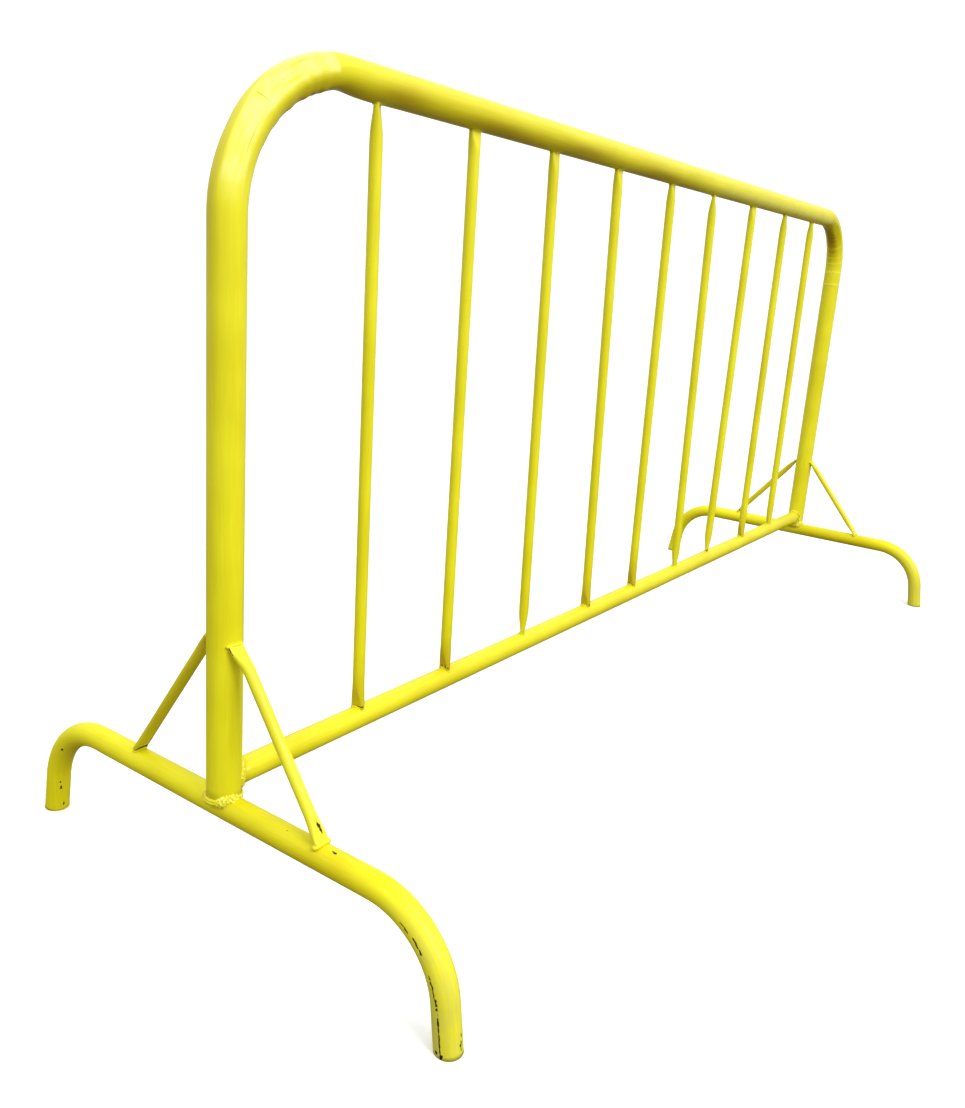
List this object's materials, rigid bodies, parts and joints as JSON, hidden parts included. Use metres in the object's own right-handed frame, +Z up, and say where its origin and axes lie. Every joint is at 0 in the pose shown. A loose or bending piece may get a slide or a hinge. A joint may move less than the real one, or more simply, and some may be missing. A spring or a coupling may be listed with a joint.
{
  "type": "crowd control barrier",
  "caption": "Welded steel tube barrier: a bent tube frame with upright pickets and a bottom rail on two cross feet with diagonal braces, painted yellow.",
  "frame": {"origin": "on the floor, under the middle of the barrier's bounding box", "axes": "+X along the barrier from the near post to the far post, +Y across it along the feet, +Z up"},
  "size_m": [2.146, 0.76, 1.027],
  "materials": {
    "yellow_enamel": "semi-gloss brushed enamel",
    "yellow_enamel_welds": "semi-gloss enamel over rough weld bead"
  },
  "bodies": {
    "root": {"frame_tube": "yellow_enamel", "bottom_rail": "yellow_enamel", "near_foot": "yellow_enamel", "far_foot": "yellow_enamel", "picket_1": "yellow_enamel", "picket_2": "yellow_enamel", "picket_3": "yellow_enamel", "picket_4": "yellow_enamel", "picket_5": "yellow_enamel", "picket_6": "yellow_enamel", "picket_7": "yellow_enamel", "picket_8": "yellow_enamel", "picket_9": "yellow_enamel", "near_front_brace": "yellow_enamel", "near_back_brace": "yellow_enamel", "far_front_brace": "yellow_enamel", "far_back_brace": "yellow_enamel", "near_post_weld": "yellow_enamel_welds", "far_post_weld": "yellow_enamel_welds", "near_rail_weld": "yellow_enamel_welds", "far_rail_weld": "yellow_enamel_welds", "picket_head_welds": "yellow_enamel_welds", "picket_foot_welds": "yellow_enamel_welds", "brace_top_welds": "yellow_enamel_welds", "brace_foot_welds": "yellow_enamel_welds"}
  },
  "joints": []
}
